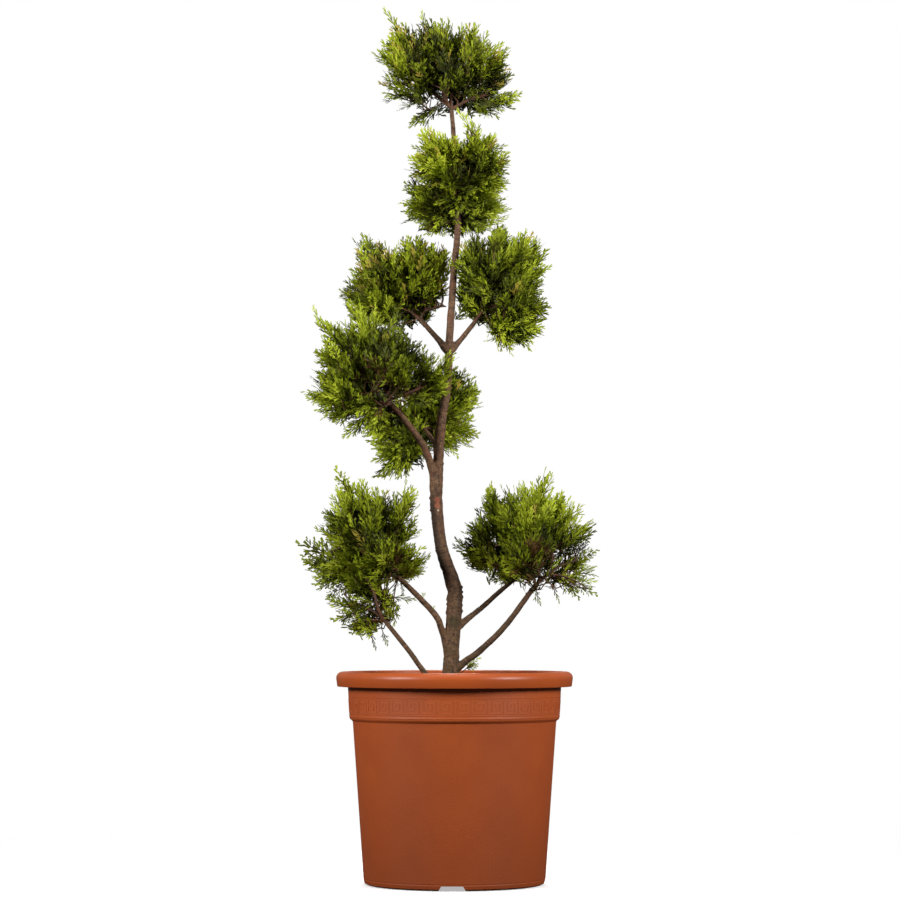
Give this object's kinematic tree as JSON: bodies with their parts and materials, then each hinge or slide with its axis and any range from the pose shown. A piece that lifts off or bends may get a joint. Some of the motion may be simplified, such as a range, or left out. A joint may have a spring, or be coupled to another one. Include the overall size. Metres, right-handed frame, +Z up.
{
  "type": "potted cloud-pruned cypress tree",
  "caption": "Clipped conifer with rounded leaf pompons on bare boughs along one crooked trunk, growing in a filled round pot with a rolled rim and a key-pattern band.",
  "frame": {"origin": "centre of the pot's flat underside, on the ground and on the pot's own axis", "axes": "+Z up along the pot's axis; -Y faces the viewer of the picture; +X to the viewer's right"},
  "size_m": [0.4433, 0.34, 1.271],
  "materials": {
    "pot_plastic": "satin",
    "compost": "matte",
    "bark": "matte",
    "leaf": "matte"
  },
  "bodies": {
    "root": {"pot": "pot_plastic", "soil": "compost", "trunk": "bark", "bough_low_left_lower": "bark", "bough_low_left_upper": "bark", "bough_low_right_lower": "bark", "bough_low_right_upper": "bark", "bough_front_left": "bark", "bough_back": "bark", "bough_mid_left": "bark", "bough_mid_right": "bark", "pompon_top": "leaf", "pompon_second": "leaf", "pompon_mid_left": "leaf", "pompon_mid_right": "leaf", "pompon_front_left": "leaf", "pompon_back": "leaf", "pompon_low_left": "leaf", "pompon_low_right": "leaf", "basal_sprig": "leaf"}
  },
  "joints": []
}
